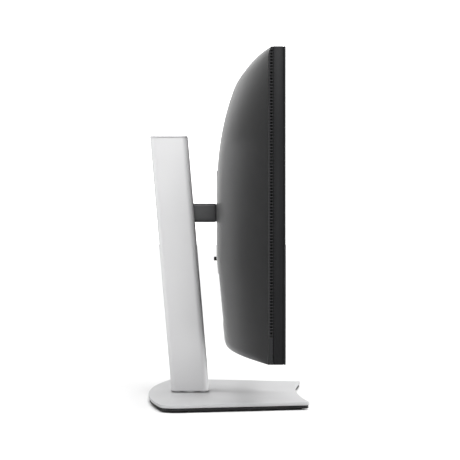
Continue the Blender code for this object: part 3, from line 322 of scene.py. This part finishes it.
def settle(piece):
    """Turn a piece's modifiers into its mesh."""
    graph = bpy.context.evaluated_depsgraph_get()
    final = bpy.data.meshes.new_from_object(piece.evaluated_get(graph))
    piece.modifiers.clear()
    piece.data = final


def soften(piece, width, segments, angle):
    """Round a piece's edges."""
    bevel = piece.modifiers.new("edges", "BEVEL")
    bevel.width = width
    bevel.segments = segments
    bevel.limit_method = "ANGLE"
    bevel.angle_limit = math.radians(angle)
    bevel.miter_outer = "MITER_ARC"
    settle(piece)


def carve(mesh, cutters):
    """Cut bmesh solids from one, and return the result as a bmesh."""
    bmesh.ops.recalc_face_normals(mesh, faces=mesh.faces)
    body = bpy.data.objects.new("carved", bpy.data.meshes.new("carved"))
    mesh.to_mesh(body.data)
    mesh.free()
    bpy.context.scene.collection.objects.link(body)
    tools = []
    for cutter in cutters:
        bmesh.ops.recalc_face_normals(cutter, faces=cutter.faces)
        tool = bpy.data.objects.new("cutter", bpy.data.meshes.new("cutter"))
        cutter.to_mesh(tool.data)
        cutter.free()
        bpy.context.scene.collection.objects.link(tool)
        tools.append(tool)
        step = body.modifiers.new("cut", "BOOLEAN")
        step.operation = "DIFFERENCE"
        step.solver = "EXACT"
        step.object = tool
    settle(body)
    result = bmesh.new()
    result.from_mesh(body.data)
    for used in [body, *tools]:
        bpy.data.objects.remove(used, do_unlink=True)
    return result


def refine(node, material, slot, bevel, segments=2, angle=35):
    """A CAD node's own shape with its seams welded, flat faces whole and edges rounded."""
    source = frame["nodes"][node]
    mesh = bmesh.new()
    mesh.from_mesh(source.data)
    bmesh.ops.remove_doubles(mesh, verts=mesh.verts, dist=WELD_DISTANCE)
    bmesh.ops.dissolve_limit(mesh, angle_limit=math.radians(FLAT_ANGLE), verts=mesh.verts, edges=mesh.edges)
    show(node + "_finished", mesh, material, source["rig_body"], slot, node,
         bevel=bevel, segments=segments, angle=angle)


def loft(loops):
    """A closed solid through loops of 3-D points, all of the same length."""
    mesh = bmesh.new()
    rings = [[mesh.verts.new(point) for point in loop] for loop in loops]
    for lower, upper in zip(rings, rings[1:]):
        for index in range(len(lower)):
            after = (index + 1) % len(lower)
            mesh.faces.new((lower[index], lower[after], upper[after], upper[index]))
    mesh.faces.new(rings[0])
    mesh.faces.new(rings[-1])
    return mesh


def box(low, high):
    corners = ((low[0], low[1]), (high[0], low[1]), (high[0], high[1]), (low[0], high[1]))
    return loft([[(x, y, z) for x, y in corners] for z in (low[2], high[2])])


def across(outline, low, high):
    """An outline in Y and Z, extruded along X."""
    return loft([[(x, y, z) for y, z in outline] for x in (low, high)])


def disc(centre, radius, low, high, steps=ROUND):
    """A round solid along Y."""
    turns = [2 * math.pi * step / steps for step in range(steps)]
    rim = [(centre[0] + radius * math.cos(turn), centre[1] + radius * math.sin(turn)) for turn in turns]
    return loft([[(x, y, z) for x, z in rim] for y in (low, high)])


# ---------------------------------------------------------------- the domed rear cover

def front_y(x):
    return FRONT_Y - SCREEN_RADIUS + math.sqrt(SCREEN_RADIUS ** 2 - x ** 2)


def dome_depth(x, z):
    """How thick the head is at a place on its back."""
    below_top = TOP_Z - z
    rise = 1 - max(0.0, 1 - below_top / DOME_RISE) ** DOME_POWER
    fall = 1 - DOME_FALL * max(0.0, DOME_FALL_Z - z)
    share = min(1.0, abs(x) / HALF_WIDTH)
    across_head = 1 - (max(0.0, share - DOME_FLAT) / (1 - DOME_FLAT)) ** DOME_FLANK
    dome = (RIM_STEP + (DOME_DEPTH - RIM_STEP) * rise) * fall * across_head
    over_edge = 1 - max(0.0, z - BOTTOM_Z) / UNDER_RISE
    if over_edge > 0:
        under = 1 - math.sqrt(1 - over_edge ** 2)
        dome += under * (UNDER_DEPTH * (1 - share ** UNDER_FLANK) - dome)
    return RIM_DEPTH + dome


def chamfered_depth(x, z):
    """The same, with the narrow chamfer that runs round the rim's rear edge."""
    beside = LIP_DEPTH + SIDE_LIP_SLOPE * max(0.0, HALF_WIDTH - abs(x))
    return min(sloped_depth(x, z), beside)


def inner_depth(x, z):
    """The inside of the cover follows the chamfer only along its upper edge."""
    return sloped_depth(x, z) - EXTRA_WALL


def sloped_depth(x, z):
    """The dome with the chamfer along its upper edge."""
    return blended(dome_depth(x, z), LIP_DEPTH + TOP_LIP_SLOPE * max(0.0, TOP_Z - z))


def blended(one, other):
    """The smaller of two depths, with the corner between them rounded off."""
    near = max(LIP_BLEND - abs(one - other), 0.0) / LIP_BLEND
    return min(one, other) - near * near * LIP_BLEND / 4


def steps_between(low, high, count, near_low, near_high):
    """Evenly spread places from low to high, with closer ones at given distances from the two ends."""
    middle = [low + (high - low) * step / count for step in range(1, count)]
    middle = [place for place in middle if low + near_low[-1] < place < high - near_high[-1]]
    return [low + step for step in near_low] + middle + [high - step for step in reversed(near_high)]


def rounded_top(from_side):
    """How far the top drops at the head's upper corners."""
    left = max(0.0, CORNER_RADIUS - from_side)
    return CORNER_RADIUS - math.sqrt(CORNER_RADIUS ** 2 - left ** 2)


def dome_solid(inset, front_depth, depth_at, columns, rows):
    """A closed solid from a front depth to the depth that a function gives, over a grid."""
    half_width = HALF_WIDTH - inset
    low_z, high_z = BOTTOM_Z + inset, TOP_Z - inset
    xs = steps_between(-half_width, half_width, columns, SIDE_LINES, SIDE_LINES)
    zs = steps_between(low_z, high_z, rows, BOTTOM_LINES, TOP_LINES)
    mesh = bmesh.new()
    back, front = [], []
    for x in xs:
        drop = rounded_top(half_width - abs(x))
        line = []
        for z in zs:
            lowered = z - drop if z > high_z - TOP_ROW else z
            line.append(mesh.verts.new((x, front_y(x) + depth_at(x, z) - inset, lowered)))
        back.append(line)
    for x in xs:
        drop = rounded_top(half_width - abs(x))
        front.append([mesh.verts.new((x, front_y(x) + front_depth, z)) for z in (low_z, high_z - drop)])
    for column in range(len(xs) - 1):
        for row in range(len(zs) - 1):
            mesh.faces.new((back[column][row], back[column + 1][row],
                            back[column + 1][row + 1], back[column][row + 1]))
        mesh.faces.new((front[column][0], front[column + 1][0], front[column + 1][1], front[column][1]))
        mesh.faces.new((front[column][0], front[column + 1][0], back[column + 1][0], back[column][0]))
        mesh.faces.new((front[column][1], front[column + 1][1], back[column + 1][-1], back[column][-1]))
    for side in (0, -1):
        mesh.faces.new([front[side][0], *back[side], front[side][1]])
    return mesh


PLATE_LOW, PLATE_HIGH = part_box("mount_plate")
RECESS_ROOM = 0.0012
RECESS_HALF = PLATE_HIGH.x + RECESS_ROOM
RECESS_Z = (PLATE_LOW.z + PLATE_HIGH.z) / 2
RECESS_FLOOR_Y = PLATE_LOW.y - GAP
BEYOND_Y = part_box("release_button")[1].y + BEYOND


def recess(margin):
    """The square recess for the stand's mount."""
    half = RECESS_HALF + margin
    return box((-half, RECESS_FLOOR_Y - margin, RECESS_Z - half), (half, BEYOND_Y, RECESS_Z + half))


BAY_HALF_WIDTH = 0.095
BAY_CEILING_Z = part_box("hdmi_socket")[0].z
BAY_BOTTOM_Z = 0.100
BAY_FLOOR_Y = -0.0137
BAY_KNEE_RISE = 0.012       # the floor's sweep ends this far above the middle of the bay
BAY_SWEEP_STEPS = 12


def bay(margin):
    """The port bay: a ceiling for the sockets and a floor that sweeps out to the cover's surface."""
    deep_y = BAY_FLOOR_Y - margin
    out_y = front_y(0) + dome_depth(0, BAY_BOTTOM_Z) - margin
    knee_z = (BAY_CEILING_Z + BAY_BOTTOM_Z) / 2
    rise = knee_z + BAY_KNEE_RISE - BAY_BOTTOM_Z
    ceiling = BAY_CEILING_Z + margin
    sweep = []
    for step in range(BAY_SWEEP_STEPS + 1):
        share = step / BAY_SWEEP_STEPS
        ease = share * share * (3 - 2 * share)
        sweep.append((out_y + (deep_y - out_y) * ease, BAY_BOTTOM_Z - margin + rise * share))
    profile = [(deep_y, ceiling), (BEYOND_Y, ceiling), (BEYOND_Y, sweep[0][1]), *sweep]
    half = BAY_HALF_WIDTH + margin
    return across(profile, -half, half)


def hole_for(node):
    """A straight cutter around a CAD node's box."""
    low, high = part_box(node)
    return box((low.x - GAP, low.y - GAP, low.z - 2 * GAP), (high.x + GAP, high.y + GAP, high.z + 2 * GAP))


SOCKET_NODES = ("hdmi_socket", "displayport_socket", "usb_c_socket", "usb_a_socket_1", "usb_a_socket_2",
                "ethernet_socket", "audio_socket", "mains_inlet")
STICK_LOW, STICK_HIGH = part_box("joystick_cap")
STICK_AT = ((STICK_LOW.x + STICK_HIGH.x) / 2, (STICK_LOW.z + STICK_HIGH.z) / 2)
STICK_FLOOR_Y = front_y(STICK_AT[0]) + dome_depth(*STICK_AT) - STICK_DEPTH


def floor_hole(x, z, radius, steps):
    """A round hole through the floor of the recess."""
    return disc((x, z), radius, RECESS_FLOOR_Y - HOLE_BELOW, RECESS_FLOOR_Y + HOLE_ABOVE, steps)


def side_groove(side):
    """The groove that a vent strip sits in, and the slot behind it into the head."""
    near = front_y(HALF_WIDTH) + VENT_STRIP_DEPTHS[0]
    far = front_y(HALF_WIDTH) + VENT_STRIP_DEPTHS[1] + GROOVE_END_GAP
    outer = side * (HALF_WIDTH + BEYOND)
    edges = sorted((side * (HALF_WIDTH - VENT_STRIP_THICKNESS - GAP), outer))
    groove = box((edges[0], near - GROOVE_LAP, BOTTOM_Z + GROOVE_MARGIN),
                 (edges[1], far, TOP_Z - GROOVE_MARGIN))
    middle = (near + far) / 2
    edges = sorted((side * (HALF_WIDTH - AIR_SLOT_DEPTH), outer))
    slot = box((edges[0], middle - VENT_WIDTH / 2, BOTTOM_Z + (BLIND_VENTS + 1) * VENT_PITCH),
               (edges[1], middle + VENT_WIDTH / 2, TOP_Z - VENT_PITCH))
    return [groove, slot]


def build_rear_cover():
    cavity = dome_solid(COVER_WALL, COVER_FRONT_DEPTH - CAVITY_REACH, inner_depth, *CAVITY_GRID)
    pocket = disc(STICK_AT, STICK_POCKET + COVER_WALL, STICK_FLOOR_Y - COVER_WALL, BEYOND_Y)
    cavity = carve(cavity, [recess(COVER_WALL), bay(COVER_WALL), pocket])
    cover = dome_solid(0, COVER_FRONT_DEPTH, chamfered_depth, *COVER_GRID)
    stem_hole = (STICK_FLOOR_Y - STEM_HOLE_BELOW, STICK_FLOOR_Y + HOLE_ABOVE)
    cuts = [cavity, recess(0), bay(0), disc(STICK_AT, STICK_POCKET, STICK_FLOOR_Y, BEYOND_Y),
            disc(STICK_AT, STEM_HOLE_RADIUS, *stem_hole, SMALL_ROUND), hole_for("release_button")]
    cuts += [hole_for(node) for node in SOCKET_NODES]
    for number in range(1, 5):
        low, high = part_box(f"cover_screw_{number}")
        cuts.append(floor_hole((low.x + high.x) / 2, (low.z + high.z) / 2, SCREW_HOLE_RADIUS, SCREW_ROUND))
    for side in (-1, 1):
        for end in (-1, 1):
            z = RECESS_Z + end * VESA_HALF
            cuts.append(floor_hole(side * VESA_HALF, z, BOSS_HOLE_RADIUS, SMALL_ROUND))
    for side in (-1, 1):
        cuts += side_groove(side)
    show("rear_cover_shell", carve(cover, cuts), finish("charcoal_moulding"), "display", "charcoal_plastic",
         "rear_cover", angle=30)


def build_vent_strip(side, name):
    """A perforated bar in the rim's side: square holes right through, and blind ones at its lower end."""
    outer = side * HALF_WIDTH
    inner = side * (HALF_WIDTH - VENT_STRIP_THICKNESS)
    blind = side * (HALF_WIDTH - BLIND_DEPTH)
    near = front_y(HALF_WIDTH) + VENT_STRIP_DEPTHS[0]
    far = front_y(HALF_WIDTH) + VENT_STRIP_DEPTHS[1]
    middle = (near + far) / 2
    hole_y = (middle - VENT_WIDTH / 2, middle + VENT_WIDTH / 2)
    low, high = BOTTOM_Z + VENT_STRIP_BOTTOM, TOP_Z - VENT_STRIP_TOP
    count = int((high - low) / VENT_PITCH)
    start = (low + high - (count - 1) * VENT_PITCH) / 2
    mesh = bmesh.new()
    levels = [low]
    for index in range(count):
        centre = start + index * VENT_PITCH
        levels += [centre - VENT_HEIGHT / 2, centre + VENT_HEIGHT / 2]
    levels.append(high)
    ys = (near, *hole_y, far)
    faces = {}
    for depth in (outer, inner):
        faces[depth] = [[mesh.verts.new((depth, y, z)) for y in ys] for z in levels]
    for row in range(len(levels) - 1):
        holed = row % 2 == 1
        sealed = holed and row // 2 < BLIND_VENTS
        for depth in (outer, inner):
            grid = faces[depth]
            for column in range(3):
                if holed and column == 1 and not (sealed and depth == inner):
                    continue
                mesh.faces.new((grid[row][column], grid[row][column + 1],
                                grid[row + 1][column + 1], grid[row + 1][column]))
        if holed:
            corners = ((row, 1), (row, 2), (row + 1, 2), (row + 1, 1))
            top = [faces[outer][r][c] for r, c in corners]
            if sealed:
                under = [mesh.verts.new((blind, vert.co.y, vert.co.z)) for vert in top]
                mesh.faces.new(under)
            else:
                under = [faces[inner][r][c] for r, c in corners]
            for index in range(4):
                after = (index + 1) % 4
                mesh.faces.new((top[index], top[after], under[after], under[index]))
    for row in range(len(levels) - 1):
        for column in (0, 3):
            mesh.faces.new((faces[outer][row][column], faces[outer][row + 1][column],
                            faces[inner][row + 1][column], faces[inner][row][column]))
    for row in (0, len(levels) - 1):
        for column in range(3):
            mesh.faces.new((faces[outer][row][column], faces[outer][row][column + 1],
                            faces[inner][row][column + 1], faces[inner][row][column]))
    show("vent_strip_" + name, mesh, finish("charcoal_vents"), "display", "charcoal_plastic", angle=30)


# ---------------------------------------------------------------- the rest of the head

def build_front():
    refine("front_bezel", finish("charcoal_rim"), "charcoal_plastic", bevel=0.0016, segments=4, angle=50)
    refine("middle_frame", finish("charcoal_rim"), "charcoal_plastic", bevel=0.00025, segments=1, angle=50)
    refine("lcd_panel", finish("screen_border"), "screen_glass", bevel=0.0002, segments=2, angle=50)
    low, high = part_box("lcd_panel")
    half = high.x - FILM_SIDE_MARGIN
    columns = [half * (2 * step / FILM_STEPS - 1) for step in range(FILM_STEPS + 1)]
    outline = [(x, front_y(x) + FILM_LIFT) for x in columns]
    outline += [(x, front_y(x) + FILM_LIFT + FILM_THICKNESS) for x in reversed(columns)]
    ends = (low.z + FILM_END_MARGIN, high.z - FILM_END_MARGIN)
    film = loft([[(x, y, z) for x, y in outline] for z in ends])
    show("screen_film", film, finish("anti_glare_film"), "display", "screen_glass", angle=20)
    refine("power_light", finish("light_pipe_plastic"), "light_pipe", bevel=0.0002)
    refine("power_button", finish("black_moulding"), "black_plastic", bevel=0.0004)


# CAD nodes that stay as they are, by their finish
PLAIN_NODES = {
    "plated_steel": ("mount_plate", "tilt_bracket", "slant_retainer", "tilt_shaft", "shaft_nut",
                     "mount_frame", "cover_screw_1", "cover_screw_2", "cover_screw_3", "cover_screw_4",
                     "chassis_plate", "swivel_disc", "swivel_retainer", "base_screw", "screw_ring",
                     "column_foot", "lift_rail", "lift_carriage", "spring_axle"),
    "spring_strip": ("spring_band", "spring_coil", "friction_washer_left", "friction_washer_right"),
    "solder_resist": ("main_board", "power_board", "port_board", "joystick_board"),
    "black_moulding": ("glide_pad_left", "glide_pad_right", "joystick_gimbal", "joystick_stem",
                       "backlight_unit"),
}


def paint_plain_nodes():
    for name, nodes in PLAIN_NODES.items():
        for node in nodes:
            data = frame["nodes"][node].data
            data.materials.clear()
            data.materials.append(finish(name))


def build_sockets():
    for node in SOCKET_NODES:
        metal = node not in ("audio_socket", "mains_inlet")
        material = finish("nickel_plate" if metal else "black_moulding")
        refine(node, material, "socket_metal" if metal else "black_plastic", bevel=0.00015, segments=1)
    low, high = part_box("mains_inlet")
    x, y = (low.x + high.x) / 2, (low.y + high.y) / 2
    for index, (dx, dy) in enumerate(PIN_PLACES):
        pin = box((x + dx - PIN_HALF[0], y + dy - PIN_HALF[1], low.z + PIN_ENDS[0]),
                  (x + dx + PIN_HALF[0], y + dy + PIN_HALF[1], high.z - PIN_ENDS[1]))
        show(f"inlet_pin_{index + 1}", pin, finish("nickel_plate"), "display", "socket_metal", bevel=0.0004)
    low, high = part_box("ethernet_socket")
    x = (low.x + high.x) / 2
    for index in range(CONTACT_COUNT):
        at = x + (index - (CONTACT_COUNT - 1) / 2) * CONTACT_PITCH
        spring = box((at - CONTACT_HALF, low.y + CONTACT_DEPTHS[0], low.z + CONTACT_ENDS[0]),
                     (at + CONTACT_HALF, low.y + CONTACT_DEPTHS[1], high.z - CONTACT_ENDS[1]))
        show(f"ethernet_contact_{index + 1}", spring, finish("gold_contacts"), "display", "socket_metal")


def build_controls():
    refine("release_button", finish("black_moulding"), "black_plastic", bevel=0.0006, segments=3)
    low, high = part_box("joystick_cap")
    radius = (high.x - low.x) / 2
    rings = [(low.y + depth, share) for depth, share in KNOB_INNER_RINGS]
    rings += [(high.y - depth, share) for depth, share in KNOB_OUTER_RINGS]
    loops = []
    for y, share in rings:
        loop = []
        for step in range(KNOB_RIDGES * 2):
            turn = math.pi * step / KNOB_RIDGES
            ridge = KNOB_GROOVE if step % 2 and share == 1.0 else 1.0
            loop.append((STICK_AT[0] + radius * share * ridge * math.cos(turn), y,
                         STICK_AT[1] + radius * share * ridge * math.sin(turn)))
        loops.append(loop)
    show("joystick_knob", loft(loops), finish("foot_rubber"), "joystick_cap", "rubber",
         "joystick_cap", angle=30)


# ---------------------------------------------------------------- the stand

def build_stand():
    refine("arm", finish("arm_paint_finish"), "arm_paint", bevel=0.0004, segments=2, angle=50)
    refine("column_shell", finish("silver_paint_finish"), "silver_paint", bevel=0.0006, segments=3, angle=40)
    refine("column_cap", finish("silver_paint_finish"), "silver_paint", bevel=0.0009, segments=3, angle=40)
    refine("cable_hole_lining", finish("black_moulding"), "black_plastic", bevel=0.0005, segments=2, angle=40)
    # The base plate takes the darker copy of the silver paint, whose lower colour is painted shade.
    refine("base_plate", finish("shaded_base_silver_paint"), "silver_paint", bevel=0.00015, segments=1, angle=50)
    refine("base_underside", finish("black_moulding"), "black_plastic", bevel=0.0005, segments=2, angle=40)
    for end in ("front", "rear"):
        for side in ("left", "right"):
            refine(f"foot_{end}_{side}", finish("foot_rubber"), "rubber", bevel=0.0004, segments=2, angle=40)


# ---------------------------------------------------------------- stage, light and camera

def area_light(name, place, target, size, power):
    light = bpy.data.lights.new(name, "AREA")
    light.shape = "RECTANGLE"
    light.size, light.size_y = size
    light.energy = power
    lamp = bpy.data.objects.new(name, light)
    lamp.location = place
    lamp.rotation_euler = (Vector(target) - Vector(place)).to_track_quat("-Z", "Y").to_euler()
    bpy.context.scene.collection.objects.link(lamp)


def arithmetic(nodes, links, operation, *values):
    step = nodes.new("ShaderNodeMath")
    step.operation = operation
    for socket, value in zip(step.inputs, values):
        links.new(value, socket)
    return step.outputs[0]


def build_stage():
    """A pale floor, white cards on four sides and soft lights."""
    floor_data = bpy.data.meshes.new("floor")
    mesh = bmesh.new()
    bmesh.ops.create_circle(mesh, cap_ends=True, radius=FLOOR_RADIUS, segments=64)
    mesh.to_mesh(floor_data)
    mesh.free()
    floor = bpy.data.objects.new("floor", floor_data)
    bpy.context.scene.collection.objects.link(floor)
    floor.visible_glossy = False
    matt, _, _, shader = shader_nodes("pale_floor")
    shader.inputs["Base Color"].default_value = (*FLOOR_WHITE, 1)
    shader.inputs["Roughness"].default_value = 0.9
    shader.inputs["Specular IOR Level"].default_value = 0.0
    floor_data.materials.append(matt)

    world = bpy.data.worlds.new("studio")
    bpy.context.scene.world = world
    world.use_nodes = True
    nodes, links = world.node_tree.nodes, world.node_tree.links
    direction = nodes.new("ShaderNodeTexCoord")
    part = nodes.new("ShaderNodeSeparateXYZ")
    links.new(direction.outputs["Generated"], part.inputs["Vector"])
    x, y = part.outputs["X"], part.outputs["Y"]
    squares = [arithmetic(nodes, links, "MULTIPLY", value, value) for value in (x, y)]
    along_axes = arithmetic(nodes, links, "ABSOLUTE", arithmetic(nodes, links, "SUBTRACT", *squares))
    cards = spread(nodes, links, along_axes, STUDIO_GREY, CARD_WHITE, *CARD_EDGE)
    background = nodes["Background"]
    background.inputs["Color"].default_value = (1, 1, 1, 1)
    links.new(cards, background.inputs["Strength"])

    sun = bpy.data.lights.new("ceiling_light", "SUN")
    sun.energy = SUN_STRENGTH
    sun.angle = math.radians(SUN_SPREAD)
    ceiling = bpy.data.objects.new("ceiling_light", sun)
    bpy.context.scene.collection.objects.link(ceiling)
    for name, (place, target, size, power) in SOFTBOXES.items():
        area_light(name, place, target, size, power)

    camera = bpy.data.objects.new("camera", bpy.data.cameras.new("camera"))
    camera.data.lens = CAMERA_LENS
    camera.location = CAMERA_PLACE
    camera.rotation_euler = (math.radians(90), 0, math.radians(-90))
    bpy.context.scene.collection.objects.link(camera)
    bpy.context.scene.camera = camera
    bpy.context.scene.view_settings.view_transform = "Standard"


build_stage()
build_rear_cover()
for strip_side, strip_name in ((-1, "left"), (1, "right")):
    build_vent_strip(strip_side, strip_name)
build_front()
refine("mount_cover", finish("charcoal_moulding"), "charcoal_plastic", bevel=0.0007, segments=3)
paint_plain_nodes()
build_sockets()
build_controls()
build_stand()
